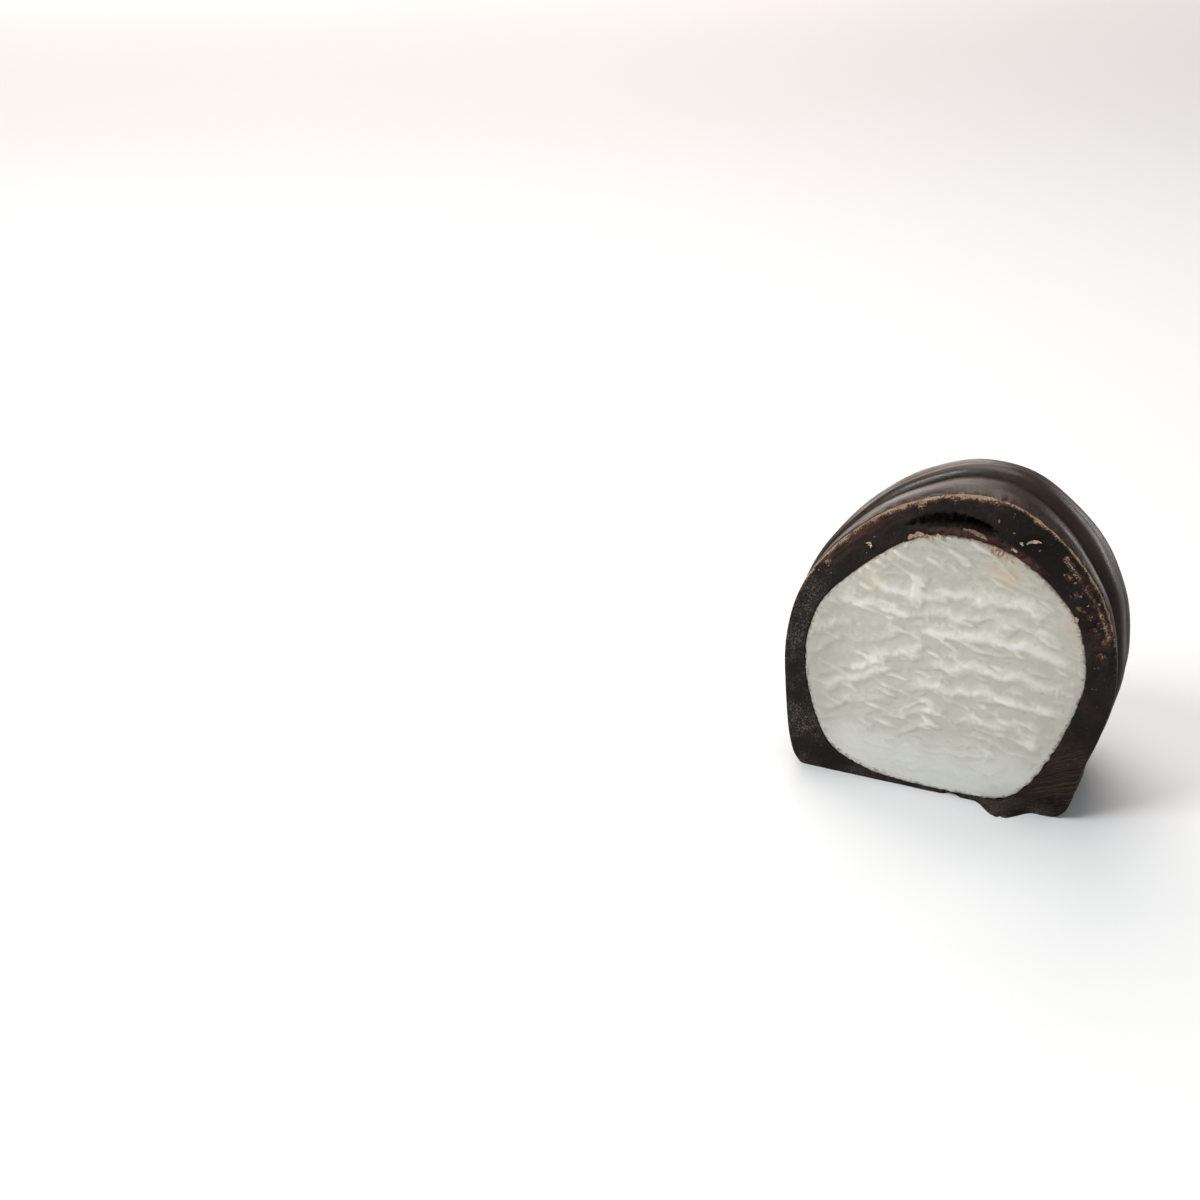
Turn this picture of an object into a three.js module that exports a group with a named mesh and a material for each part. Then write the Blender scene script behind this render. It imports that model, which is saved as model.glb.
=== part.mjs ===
// Half of a chocolate-coated marshmallow, cut across with a knife.
// Millimetres. X runs across the cut face, Y goes back from it and Z is up.
// The model is drawn with the cut in the plane Y = 0 and the base on Z = 0,
// and the finished group is then moved so that its origin is under its middle.

import * as THREE from 'three';
import { ParametricGeometry } from 'three/addons/geometries/ParametricGeometry.js';
import { mergeVertices } from 'three/addons/utils/BufferGeometryUtils.js';

// The coating's outline on the cut face, from the widest point on the right,
// over the top, down the straight left wall and back along the flat base.
const coatingKnots = [
  [19.7, 19.0], [18.1, 26.7], [14.1, 33.0], [8.1, 37.7], [2.3, 39.0], [-3.3, 37.9],
  [-9.0, 35.0], [-14.5, 29.9], [-18.2, 24.0], [-19.7, 17.0], [-19.4, 9.8], [-18.6, 3.6],
  [-17.4, 0.6], [-15.2, 0.0], [-5.0, 0.0], [5.0, 0.0], [13.4, 0.0], [15.6, 0.7],
  [16.5, 2.8], [17.1, 6.3], [18.8, 12.2],
];

// The hollow that holds the marshmallow, in the same order. It nearly reaches the base.
const hollowKnots = [
  [16.4, 18.0], [15.1, 24.8], [11.4, 29.5], [6.4, 32.8], [0.0, 33.9], [-5.4, 32.4],
  [-10.6, 28.4], [-15.4, 23.0], [-17.2, 17.0], [-16.5, 10.5], [-13.7, 4.0], [-9.0, 1.3],
  [-3.0, 0.7], [4.0, 0.7], [8.5, 1.1], [11.6, 4.0], [14.4, 10.0],
];

// How a section shrinks from the cut to the rounded end of the sweet.
const outside = { depth: 25, widestAt: 5.05, roundAcross: 2.65, highestAt: 5.75, roundUp: 1.6 };
const inside = { depth: 21.6, widestAt: 3.5, roundAcross: 2.5, highestAt: 4.2, roundUp: 1.75 };
const middle = new THREE.Vector3(0, 8, 16.5);   // centre of every section, and of the sweet
const baseEnds = 0.5;         // share of the width at which the base lifts off at the back
const baseCorner = 1.6;       // roundness of that lower back edge
const straightPart = 0.7;     // share of the hollow's depth that has evenly spaced rows
const fillingGap = 0.42;      // the marshmallow stays this far inside its hollow

// Drizzled rolls that run round the coating side by side, with a crease between them.
const creaseDepths = [-2.5, 2.4, 6.4, 10.5, 14.6, 18.8, 31.2];
const rollHeight = 0.75;
const rollShape = 0.6;        // below 1 gives round rolls with narrow creases
const lean = { size: 2.9, turn: 1.74 };   // creases lie this far deeper on the right than halfway
const leanStart = { from: 1.5, full: 8 };  // the first crease stays level with the cut
const leanEnd = { from: 12, to: 25 };
const waver = { size: 0.28, waves: 3 };
const rollFoot = 6;           // below this height the rolls run out towards the base
const lastCrease = creaseDepths[5];
const curl = { x: 4, z: 17, radius: 7.5, width: 2.4, height: 0.8 };   // loop on the round end

// What the knife left on the chocolate: lengths in mm, angles in degrees from the right.
const slit = { angle: 86, reach: 26, across: 0.68, half: 0.26, depth: 1.8 };
const chips = { angle: 27, reach: 26, across: 0.3, half: 0.34, depth: 0.9 };
const groove = { x: 13.8, reach: 2.6, z: 1.5, half: 1.2, depth: 0.8 };
const burr = { x: 8.7, reach: 3.8, height: 1.9, length: 2.8 };

// Wrinkles that cross the marshmallow's cut face, nearly level.
const wrinkle = { height: 0.35, spacing: 4.6, slope: -0.1, bend: 0.9, bendLength: 17 };
const smoothBelow = 9;        // the lowest part of the face is smooth
const faceSwell = 0.35;       // the cut face stands this far forward in its middle

// Fineness of the faceted surfaces.
const columns = 72;
const stepsPerColumn = 8;     // extra steps along an outline, to find where a ray crosses it
const rollRows = 5;
const endRows = 12;
const cutRows = 6;
const hollowRows = 11;
const backRows = 10;
const faceRows = 14;

// A hump that rises from 0 at its edges to 1 at its middle.
function hump(value, centre, reach) {
  const away = Math.abs(value - centre) / reach;
  return away < 1 ? Math.cos(away * Math.PI / 2) ** 2 : 0;
}

// A closed smooth curve through knots, with no point below the base.
function smoothOutline(knots) {
  const points = knots.map(([x, z]) => new THREE.Vector3(x, 0, z));
  const curve = new THREE.CatmullRomCurve3(points, true, 'catmullrom', 0.5);
  const outline = curve.getSpacedPoints(columns * stepsPerColumn);
  outline.forEach((point) => {
    point.z = Math.max(0, point.z);
  });
  return outline;
}

// Where the ray from the middle towards a point crosses an outline.
function crossing(outline, towards) {
  const aim = new THREE.Vector2(towards.x - middle.x, towards.z - middle.z).normalize();
  let best = null;
  let bestMatch = -1;
  for (const point of outline) {
    const ray = new THREE.Vector2(point.x - middle.x, point.z - middle.z);
    const match = ray.dot(aim) / ray.length();
    if (match > bestMatch) {
      bestMatch = match;
      best = ray.length();
    }
  }
  return new THREE.Vector3(middle.x + aim.x * best, 0, middle.z + aim.y * best);
}

const coatingOutline = smoothOutline(coatingKnots);
const hollowOutline = smoothOutline(hollowKnots);
const coatingRim = [];
const hollowRim = [];
for (let column = 0; column < columns; column++) {
  const point = coatingOutline[column * stepsPerColumn];
  coatingRim.push(point);
  hollowRim.push(crossing(hollowOutline, point));
}

// Size of a section at a depth, as a share of its size at the cut.
function share(depth, length, widestAt, roundness) {
  const reach = length - widestAt;
  const here = 1 - (Math.abs(depth - widestAt) / reach) ** roundness;
  const atCut = 1 - (widestAt / reach) ** roundness;
  return (Math.max(0, here) / atCut) ** (1 / roundness);
}

// The depth at which a section has shrunk to a share of its width at the cut.
function depthOfShare(part, form) {
  const reach = form.depth - form.widestAt;
  const atCut = 1 - (form.widestAt / reach) ** form.roundAcross;
  const left = 1 - part ** form.roundAcross * atCut;
  return form.widestAt + reach * left ** (1 / form.roundAcross);
}

// A point of the cut face's outline, moved back to its place on a deeper section.
function deeper(rimPoint, depth, form) {
  const across = share(depth, form.depth, form.widestAt, form.roundAcross);
  const up = share(depth, form.depth, form.highestAt, form.roundUp);
  const down = 1 - (1 - Math.min(1, across / baseEnds)) ** baseCorner;
  const rise = rimPoint.z - middle.z;
  return new THREE.Vector3(
    middle.x + (rimPoint.x - middle.x) * across,
    depth,
    middle.z + rise * (rise > 0 ? up : down),
  );
}

// How far the surface lies below the crests of the rolls at a depth.
function rollRelief(depth) {
  const next = creaseDepths.findIndex((crease) => crease > depth);
  const start = creaseDepths[next - 1];
  const part = (depth - start) / (creaseDepths[next] - start);
  return rollHeight * (Math.sin(part * Math.PI) ** rollShape - 1);
}

// How much deeper a crease lies at an angle round the sweet than its mean depth.
function swayOf(angle, depth) {
  const starting = THREE.MathUtils.smoothstep(depth, leanStart.from, leanStart.full);
  const ending = 1 - THREE.MathUtils.smoothstep(depth, leanEnd.from, leanEnd.to);
  const wavering = waver.size * Math.sin(waver.waves * angle) * Math.sin(depth / outside.depth * Math.PI);
  return lean.size * Math.sin(angle + lean.turn) * starting * ending + wavering;
}

// One point of the ridged outside of the coating.
function outerPoint(column, depth) {
  const place = depth + swayOf(column / columns * 2 * Math.PI, depth);
  const point = deeper(coatingRim[column], place, outside);
  const axis = new THREE.Vector3(middle.x, Math.min(place, middle.y), middle.z);
  const outward = point.clone().sub(axis).normalize();
  const onLoop = Math.hypot(point.x - curl.x, point.z - curl.z) - curl.radius;
  const atEnd = Math.max(0, depth - lastCrease) / (outside.depth - lastCrease);
  const fade = Math.min(1, point.z / rollFoot);
  const loop = curl.height * atEnd * Math.exp(-((onLoop / curl.width) ** 2));
  return point.addScaledVector(outward, (rollRelief(depth) + loop) * fade);
}

// How far a point of the chocolate's cut face lies behind the plane of the cut.
function cutRelief(point, across) {
  const angle = THREE.MathUtils.radToDeg(Math.atan2(point.z - middle.z, point.x - middle.x));
  const inSlit = hump(angle, slit.angle, slit.reach) * hump(across, slit.across, slit.half);
  const inChips = hump(angle, chips.angle, chips.reach) * hump(across, chips.across, chips.half);
  const inGroove = hump(point.x, groove.x, groove.reach) * hump(point.z, groove.z, groove.half);
  const onBurr = hump(point.x, burr.x, burr.reach) * hump(point.z, 0, burr.height);
  return slit.depth * inSlit + chips.depth * inChips + groove.depth * inGroove - burr.length * onBurr;
}

function cutPoint(column, across) {
  const point = coatingRim[column].clone().lerp(hollowRim[column], across);
  point.y = cutRelief(point, across);
  return point;
}

// One point of the marshmallow's cut face, from its rim at 0 to its middle at 1.
function facePoint(column, inward) {
  const rim = fillingPoint(column, 0);
  const point = rim.clone().lerp(new THREE.Vector3(middle.x, 0, middle.z), inward);
  const level = point.z + wrinkle.slope * point.x;
  const bent = level + wrinkle.bend * Math.sin(point.x / wrinkle.bendLength * 2 * Math.PI);
  const wave = Math.sin(bent / wrinkle.spacing * 2 * Math.PI);
  const strength = wrinkle.height * Math.min(1, point.z / smoothBelow) * Math.min(1, 4 * inward);
  point.y = -faceSwell * (1 - (1 - inward) ** 2) + strength * wave;
  return point;
}

// A point of the hollow, and the marshmallow's surface just inside it.
function hollowPoint(column, depth) {
  return deeper(hollowRim[column], depth, inside);
}

function fillingPoint(column, depth) {
  const point = hollowPoint(column, depth);
  const inward = middle.clone().sub(point).setLength(fillingGap);
  if (depth === 0) {
    inward.y = 0;
    inward.setLength(fillingGap);
  }
  return point.add(inward);
}

// Depths of the rows from the back to the cut, with a row in every crease.
function outerDepths() {
  const depths = [];
  const widthThere = share(lastCrease, outside.depth, outside.widestAt, outside.roundAcross);
  for (let row = 0; row < endRows; row++) {
    depths.push(depthOfShare(widthThere * row / endRows, outside));
  }
  for (let crease = creaseDepths.indexOf(lastCrease); crease > 1; crease--) {
    for (let row = 0; row < rollRows; row++) {
      depths.push(THREE.MathUtils.lerp(creaseDepths[crease], creaseDepths[crease - 1], row / rollRows));
    }
  }
  const firstRows = Math.ceil(rollRows / 2);
  for (let row = 0; row <= firstRows; row++) {
    depths.push(creaseDepths[1] * (1 - row / firstRows));
  }
  return depths;
}

// Depths of the rows of the hollow, from the cut to its round end.
function innerDepths(rows) {
  const straightRows = Math.floor(rows / 2);
  const straightEnd = inside.depth * straightPart;
  const widthThere = share(straightEnd, inside.depth, inside.widestAt, inside.roundAcross);
  const depths = [];
  for (let row = 0; row < straightRows; row++) {
    depths.push(straightEnd * row / straightRows);
  }
  for (let row = straightRows; row <= rows; row++) {
    const left = (rows - row) / (rows - straightRows);
    depths.push(depthOfShare(widthThere * left, inside));
  }
  return depths;
}

// A closed surface through rows of points. The first and last row are each one point.
function closedSurface(rows) {
  const surface = new ParametricGeometry((around, along, target) => {
    const row = rows[Math.round(along * (rows.length - 1))];
    target.copy(row[Math.round(around * columns) % columns]);
  }, columns, rows.length - 1);
  surface.deleteAttribute('normal');
  surface.deleteAttribute('uv');
  const merged = mergeVertices(surface, 1e-4);
  const corners = merged.index.array;
  const kept = [];
  for (let first = 0; first < corners.length; first += 3) {
    const [a, b, c] = corners.slice(first, first + 3);
    if (a !== b && b !== c && c !== a) {
      kept.push(a, b, c);
    }
  }
  merged.setIndex(kept);
  merged.computeVertexNormals();
  return merged;
}

function rowOf(makePoint) {
  return Array.from({ length: columns }, (unused, column) => makePoint(column));
}

function buildCoating() {
  const rows = outerDepths().slice(0, -1).map((depth) => rowOf((column) => outerPoint(column, depth)));
  for (let row = 0; row <= cutRows; row++) {
    rows.push(rowOf((column) => cutPoint(column, row / cutRows)));
  }
  for (const depth of innerDepths(hollowRows).slice(1)) {
    rows.push(rowOf((column) => hollowPoint(column, depth)));
  }
  const chocolate = new THREE.MeshStandardMaterial({ color: '#2f2220', roughness: 0.34, metalness: 0 });
  const coating = new THREE.Mesh(closedSurface(rows), chocolate);
  coating.name = 'chocolate_coating';
  return coating;
}

function buildFilling() {
  const depths = innerDepths(backRows).reverse();
  const rows = depths.map((depth) => rowOf((column) => fillingPoint(column, depth)));
  for (let row = 1; row <= faceRows; row++) {
    rows.push(rowOf((column) => facePoint(column, row / faceRows)));
  }
  const marshmallow = new THREE.MeshStandardMaterial({ color: '#e4e3da', roughness: 0.8, metalness: 0 });
  const filling = new THREE.Mesh(closedSurface(rows), marshmallow);
  filling.name = 'marshmallow_filling';
  return filling;
}

const half = new THREE.Group();
half.add(buildCoating(), buildFilling());

const box = new THREE.Box3().setFromObject(half);
const underMiddle = box.getCenter(new THREE.Vector3());
half.position.set(-underMiddle.x, -underMiddle.y, -box.min.z);
half.updateMatrixWorld(true);

export default half;
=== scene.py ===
import math
import random

import bmesh
import bpy
import numpy as np
from mathutils import Matrix, Vector, noise
from mathutils.bvhtree import BVHTree
from mathutils.geometry import interpolate_bezier, intersect_point_line


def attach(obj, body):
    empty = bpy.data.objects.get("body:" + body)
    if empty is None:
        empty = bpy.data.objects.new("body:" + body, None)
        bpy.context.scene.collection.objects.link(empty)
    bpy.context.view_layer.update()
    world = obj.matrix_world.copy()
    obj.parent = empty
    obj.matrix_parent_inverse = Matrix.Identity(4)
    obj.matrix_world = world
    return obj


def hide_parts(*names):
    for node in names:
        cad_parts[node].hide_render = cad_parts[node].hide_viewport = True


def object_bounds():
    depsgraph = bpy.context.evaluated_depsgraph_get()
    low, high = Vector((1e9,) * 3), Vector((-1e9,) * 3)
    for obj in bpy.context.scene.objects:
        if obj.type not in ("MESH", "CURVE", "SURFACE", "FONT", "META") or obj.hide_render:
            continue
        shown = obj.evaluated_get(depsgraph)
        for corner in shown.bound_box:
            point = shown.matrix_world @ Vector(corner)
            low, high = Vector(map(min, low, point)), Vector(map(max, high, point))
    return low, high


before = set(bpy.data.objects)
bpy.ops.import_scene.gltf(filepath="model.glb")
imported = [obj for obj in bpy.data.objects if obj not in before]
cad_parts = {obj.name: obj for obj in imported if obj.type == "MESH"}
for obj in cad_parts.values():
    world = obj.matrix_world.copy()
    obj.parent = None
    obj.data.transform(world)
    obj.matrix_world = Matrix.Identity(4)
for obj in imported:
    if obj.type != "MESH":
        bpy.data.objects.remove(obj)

# Half of a chocolate-coated marshmallow, cut across with a knife.
# Shapes are worked out in millimetres, with the cut in the plane y = 0 and the base on z = 0,
# and a finished mesh is then brought to metres and to its place in the frame.

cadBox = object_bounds()
mm = 0.001

sweet = {
    # outline of the coating on the cut: right side, over the top, left side, flat base
    "coatingKnots": [(19.7, 19.0), (18.1, 26.7), (14.1, 33.0), (8.1, 37.7), (2.3, 39.0),
                     (-3.3, 37.9), (-9.0, 35.0), (-14.5, 29.9), (-18.2, 24.0), (-19.7, 17.0),
                     (-19.4, 9.8), (-18.6, 3.6), (-17.4, 0.6), (-15.2, 0.0), (-5.0, 0.0),
                     (5.0, 0.0), (13.4, 0.0), (15.6, 0.7), (16.5, 2.8), (17.1, 6.3), (18.8, 12.2)],
    # outline of the marshmallow inside it, in the same order
    "hollowKnots": [(16.4, 18.0), (15.1, 24.8), (11.4, 29.5), (6.4, 32.8), (0.0, 33.9),
                    (-5.4, 32.4), (-10.6, 28.4), (-15.4, 23.0), (-17.2, 17.0), (-16.5, 10.5),
                    (-13.7, 4.0), (-9.0, 1.3), (-3.0, 0.5), (4.0, 0.5), (8.5, 1.0), (11.6, 4.0),
                    (14.4, 10.0)],
    "middle": Vector((0, 8, 16.5)),
    # how a section shrinks from the cut to the round end
    "outside": {"depth": 25, "widestAt": 5.05, "roundAcross": 2.65, "highestAt": 5.75, "roundUp": 1.6},
    "inside": {"depth": 21.6, "widestAt": 3.5, "roundAcross": 2.5, "highestAt": 4.2, "roundUp": 1.75},
    "baseEnds": 0.5,      # share of the width at which the base lifts off at the back
    "baseCorner": 1.6,
    "burrLength": 2.8,    # the burr on the base sticks out this far in front of the cut
    "aside": 0.03,        # the cut's middle lies this far right of the frame's, and this far back
    "back": 2.7485,
}

cutPlace = Vector((sweet["aside"] * mm, cadBox[0].y + sweet["back"] * mm, cadBox[0].z))


# Small helpers for shapes

# A hump that rises from 0 at its edges to 1 at its middle
def hump(value, centre, reach):
    away = abs(value - centre) / reach
    return math.cos(away * math.pi / 2) ** 2 if away < 1 else 0.0


# A bell curve that is 1 at no distance
def bell(away, width):
    return math.exp(-(away / width) ** 2)


def smoothStep(value, low, high):
    part = min(1.0, max(0.0, (value - low) / (high - low)))
    return part * part * (3 - 2 * part)


# How far one turn round the sweet is from another, the short way round
def turnBetween(turn, other):
    return (turn - other + math.pi) % (2 * math.pi) - math.pi


# Evenly spaced points of a closed smooth curve through knots, none of them below the base
def smoothOutline(knots, count):
    corners = [Vector((x, 0, z)) for x, z in knots]
    dense = []
    for i, corner in enumerate(corners):
        before = corners[i - 1]
        after = corners[(i + 1) % len(corners)]
        beyond = corners[(i + 2) % len(corners)]
        leave = corner + (after - before) / 6
        arrive = after - (beyond - corner) / 6
        dense += interpolate_bezier(corner, leave, arrive, after, 24)[:-1]
    dense.append(dense[0])
    walked = np.cumsum([0.0] + [(b - a).length for a, b in zip(dense, dense[1:])])
    stops = np.linspace(0, walked[-1], count, endpoint=False)
    xs = np.interp(stops, walked, [point.x for point in dense])
    zs = np.interp(stops, walked, [max(0.0, point.z) for point in dense])
    return [Vector((x, 0, z)) for x, z in zip(xs, zs)]


# Points of an outline on the rays from the middle through the given points
def alongRays(knots, points):
    middle = sweet["middle"]
    outline = smoothOutline(knots, 1500)
    angles = [math.atan2(p.z - middle.z, p.x - middle.x) for p in outline]
    radii = [math.hypot(p.x - middle.x, p.z - middle.z) for p in outline]
    result = []
    for point in points:
        angle = math.atan2(point.z - middle.z, point.x - middle.x)
        radius = np.interp(angle, *zip(*sorted(zip(angles, radii))), period=2 * math.pi)
        result.append(Vector((middle.x + radius * math.cos(angle), 0, middle.z + radius * math.sin(angle))))
    return result


# Size of a section at a depth, as a share of its size at the cut
def share(depth, length, widestAt, roundness):
    reach = length - widestAt
    here = 1 - (abs(depth - widestAt) / reach) ** roundness
    atCut = 1 - (widestAt / reach) ** roundness
    return (max(0.0, here) / atCut) ** (1 / roundness)


# The depth at which a section has shrunk to a share of its width at the cut
def depthOfShare(part, form):
    reach = form["depth"] - form["widestAt"]
    atCut = 1 - (form["widestAt"] / reach) ** form["roundAcross"]
    return form["widestAt"] + reach * (1 - part ** form["roundAcross"] * atCut) ** (1 / form["roundAcross"])


# A point of an outline on the cut, moved back to its place on a deeper section
def deeper(rimPoint, depth, form):
    across = share(depth, form["depth"], form["widestAt"], form["roundAcross"])
    up = share(depth, form["depth"], form["highestAt"], form["roundUp"])
    up += (0.52 * across - up) * (1 - smoothStep(across, 0.1, 0.5))    # keeps the back end from pinching
    down = 1 - (1 - min(1.0, across / sweet["baseEnds"])) ** sweet["baseCorner"]
    rise = rimPoint.z - sweet["middle"].z
    return Vector((rimPoint.x * across, depth, sweet["middle"].z + rise * (up if rise > 0 else down)))


# A sheet of rows and columns, wrapped round and closed at both ends. The shape function gives
# each point's place and the values of its painted masks.
def wrapSheet(name, columns, rows, shape, masks, materials, slotOfRow):
    bm = bmesh.new()
    bmesh.ops.create_grid(bm, x_segments=columns, y_segments=len(rows) - 1, size=0.5)
    layers = [bm.verts.layers.float.new(mask) for mask in masks]
    for face in bm.faces:
        middleRow = (face.calc_center_median().y + 0.5) * (len(rows) - 1)
        face.material_index = slotOfRow(rows[int(middleRow)])
        face.smooth = True
    for vert in bm.verts:
        column = round((vert.co.x + 0.5) * columns) % columns
        row = round((vert.co.y + 0.5) * (len(rows) - 1))
        place, values = shape(column, rows[row])
        for layer, value in zip(layers, values):
            vert[layer] = value
        vert.co = place
    bmesh.ops.remove_doubles(bm, verts=bm.verts, dist=1e-4)
    bmesh.ops.recalc_face_normals(bm, faces=bm.faces)
    return finishPiece(name, bm, materials)


# Turns a mesh drawn in millimetres into an object in metres, in the frame's place
def finishPiece(name, bm, materials):
    bmesh.ops.scale(bm, vec=(mm, mm, mm), verts=bm.verts)
    bmesh.ops.translate(bm, vec=cutPlace, verts=bm.verts)
    mesh = toMesh(name, bm)
    for material in materials:
        mesh.materials.append(material)
    return addObject(name, mesh)


def toMesh(name, bm):
    mesh = bpy.data.meshes.new(name)
    bm.to_mesh(mesh)
    bm.free()
    return mesh


def addObject(name, data):
    made = bpy.data.objects.new(name, data)
    bpy.context.scene.collection.objects.link(made)
    return made


# Small helpers for materials

# Puts values on a node's sockets, by name or by number, or links other sockets to them
def feed(tree, node, inputs):
    for name, value in inputs.items():
        if isinstance(value, bpy.types.NodeSocket):
            tree.links.new(value, node.inputs[name])
        else:
            node.inputs[name].default_value = value


def addNode(tree, kind, inputs=None, **settings):
    node = tree.nodes.new(kind)
    for name, value in settings.items():
        setattr(node, name, value)
    feed(tree, node, inputs or {})
    return node


# A colour as it looks on a screen, from 0 to 255, as the shader wants it
def paint(red, green, blue):
    def toLinear(value):
        value /= 255
        return value / 12.92 if value <= 0.04045 else ((value + 0.055) / 1.055) ** 2.4
    return (toLinear(red), toLinear(green), toLinear(blue), 1.0)


# Of the mix node's sockets, 6, 7 and the output 2 are those for colours
def mixColours(tree, factor, first, second):
    mix = addNode(tree, "ShaderNodeMix", {0: factor, 6: first, 7: second}, data_type="RGBA")
    return mix.outputs[2]


def doMath(tree, operation, first, second):
    return addNode(tree, "ShaderNodeMath", {0: first, 1: second}, operation=operation).outputs[0]


def mapRange(tree, value, low, high, newLow=0.0, newHigh=1.0):
    names = ("From Min", "From Max", "To Min", "To Max")
    inputs = dict(zip(names, (low, high, newLow, newHigh)), Value=value)
    return addNode(tree, "ShaderNodeMapRange", inputs).outputs["Result"]


def makeNoise(tree, point, scale, detail, roughness=0.5):
    inputs = {"Vector": point, "Scale": scale, "Detail": detail, "Roughness": roughness}
    return addNode(tree, "ShaderNodeTexNoise", inputs).outputs["Fac"]


def readMask(tree, name):
    return addNode(tree, "ShaderNodeAttribute", attribute_name=name).outputs["Fac"]


def objectPoint(tree):
    return addNode(tree, "ShaderNodeTexCoord").outputs["Object"]


def newMaterial(name):
    material = bpy.data.materials.new(name)
    material.use_nodes = True
    return material, material.node_tree, material.node_tree.nodes["Principled BSDF"]


def newGroup(name, inputs, outputs):
    group = bpy.data.node_groups.new(name, "ShaderNodeTree")
    for socketName, kind, value in inputs:
        socket = group.interface.new_socket(socketName, in_out="INPUT", socket_type=kind)
        if value is not None:
            socket.default_value = value
    for socketName, kind in outputs:
        group.interface.new_socket(socketName, in_out="OUTPUT", socket_type=kind)
    return group, group.nodes.new("NodeGroupInput"), group.nodes.new("NodeGroupOutput")


# Pores, grain and specks that all the chocolate surfaces share, at their own sizes
def buildCocoaGrain():
    group, given, made = newGroup(
        "cocoaGrain",
        [("Vector", "NodeSocketVector", None), ("Grain Size", "NodeSocketFloat", 0.4),
         ("Speck Share", "NodeSocketFloat", 0.1)],
        [("Grain", "NodeSocketFloat"), ("Specks", "NodeSocketFloat")])
    frequency = doMath(group, "DIVIDE", 1 / mm, given.outputs["Grain Size"])
    fine = makeNoise(group, given.outputs["Vector"], frequency, 4.0, 0.6)
    cells = addNode(group, "ShaderNodeTexVoronoi", {
        "Vector": given.outputs["Vector"], "Scale": doMath(group, "MULTIPLY", frequency, 0.55),
        "Randomness": 1.0})
    lot = addNode(group, "ShaderNodeSeparateColor", {"Color": cells.outputs["Color"]}).outputs["Red"]
    chosen = doMath(group, "LESS_THAN", lot, given.outputs["Speck Share"])
    uneven = doMath(group, "MULTIPLY", doMath(group, "SUBTRACT", fine, 0.42), 1.6)
    dots = mapRange(group, doMath(group, "ADD", cells.outputs["Distance"], uneven), 0.12, 0.3, 1.0, 0.0)
    group.links.new(fine, made.inputs["Grain"])
    group.links.new(doMath(group, "MULTIPLY", chosen, dots), made.inputs["Specks"])
    return group


def addBump(tree, height, distance, strength=1.0):
    inputs = {"Height": height, "Distance": distance, "Strength": strength}
    return addNode(tree, "ShaderNodeBump", inputs).outputs["Normal"]


cocoaGrain = buildCocoaGrain()


# Grain and specks of a size in millimetres, with more or fewer of the specks
def useGrain(tree, point, size, amount):
    inputs = {"Vector": point, "Grain Size": size, "Speck Share": amount}
    node = addNode(tree, "ShaderNodeGroup", inputs, node_tree=cocoaGrain)
    return node.outputs["Grain"], node.outputs["Specks"]


shellFinish = {
    "dark": paint(33, 23, 18),
    "bloom": paint(49, 37, 30),       # the greyer patches of a slightly bloomed coating
    "dustAndRimHighlight": paint(130, 108, 88),      # cocoa dust near the cut, and on the right a painted highlight along the cut's edge
    "roughness": (0.26, 0.42),
    "specular": 0.36,
    "bump": (0.05 * mm, 0.6),         # height and strength
}


def makeShellMaterial():
    material, tree, shader = newMaterial("chocolateShell")
    point = objectPoint(tree)
    patches = mapRange(tree, makeNoise(tree, point, 130.0, 3.0), 0.4, 0.68)
    grain, specks = useGrain(tree, point, 0.35, 0.04)
    # pale cocoa dust and specks, and on the right a painted highlight along the rim
    dustAndHighlightHere = doMath(tree, "MULTIPLY", readMask(tree, "dustAndRimHighlight"), mapRange(tree, grain, 0.5, 0.68))
    dustAndHighlightHere = doMath(tree, "MAXIMUM", dustAndHighlightHere, doMath(tree, "MULTIPLY", specks, 0.45))
    colour = mixColours(tree, patches, shellFinish["dark"], shellFinish["bloom"])
    colour = mixColours(tree, dustAndHighlightHere, colour, shellFinish["dustAndRimHighlight"])
    smears = makeNoise(tree, point, 420.0, 2.0)
    feed(tree, shader, {
        "Base Color": colour,
        "Roughness": mapRange(tree, smears, 0.3, 0.7, *shellFinish["roughness"]),
        "Specular IOR Level": shellFinish["specular"],
        "Normal": addBump(tree, grain, *shellFinish["bump"]),
    })
    return material


cutFinish = {
    "dark": paint(27, 22, 19),
    "reddish": paint(50, 35, 31),     # its redder patches
    "scraped": paint(60, 50, 44),     # where the knife rubbed it
    "streak": paint(88, 62, 52),      # reddish lines that the knife left
    "broken": paint(153, 130, 106),   # freshly broken edge, pale because it is rough
    "bruised": paint(90, 61, 48),     # the chocolate just under that edge
    "skin": paint(72, 48, 40),        # thin layer that hugs the marshmallow
    "powder": paint(98, 93, 86),      # fine dust of the cut on the left
    # painted shade inside the pores
    "poreShade": paint(5, 4, 4),
    "paintedShade": paint(12, 9, 8),          # painted shade at the top right of the cut and low on the right foot
    "roughness": (0.5, 0.72),
    "specular": 0.18,
    "bump": (0.14 * mm, 0.8),
    "scratchCentre": Vector((-2.0, 0.0, 39.5)),
    "scratchSpacing": 0.5,
}


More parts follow.
